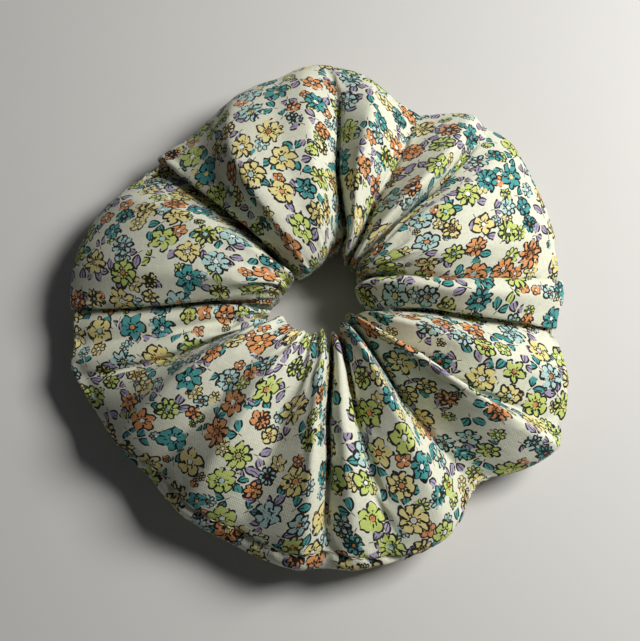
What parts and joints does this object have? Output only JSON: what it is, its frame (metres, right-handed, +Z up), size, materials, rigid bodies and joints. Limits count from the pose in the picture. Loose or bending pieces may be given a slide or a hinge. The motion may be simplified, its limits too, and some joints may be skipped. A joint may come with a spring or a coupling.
{
  "type": "scrunchie",
  "caption": "Gathered fabric scrunchie: a printed cotton tube ruffled round a hidden elastic ring, lying flat, with a round hair opening in the middle.",
  "frame": {"origin": "middle of the underside, where the scrunchie lies on a table", "axes": "+Z up along the axis of the hair opening, +X and +Y across the ring"},
  "size_m": [0.1306, 0.1358, 0.0285],
  "materials": {
    "printed_cotton": "matte plain-weave cotton with a small multicolour flower print",
    "woven_elastic": "matte woven elastic",
    "needle_thread": "soft polyester sewing thread",
    "bobbin_thread": "soft polyester sewing thread"
  },
  "bodies": {
    "root": {"cover": "printed_cotton", "elastic_band": "woven_elastic", "long_seam_needle_thread": "needle_thread", "long_seam_bobbin_thread": "bobbin_thread", "end_seam_needle_thread": "needle_thread", "end_seam_bobbin_thread": "bobbin_thread", "elastic_joint_needle_thread": "needle_thread", "elastic_joint_bobbin_thread": "bobbin_thread"}
  },
  "joints": []
}
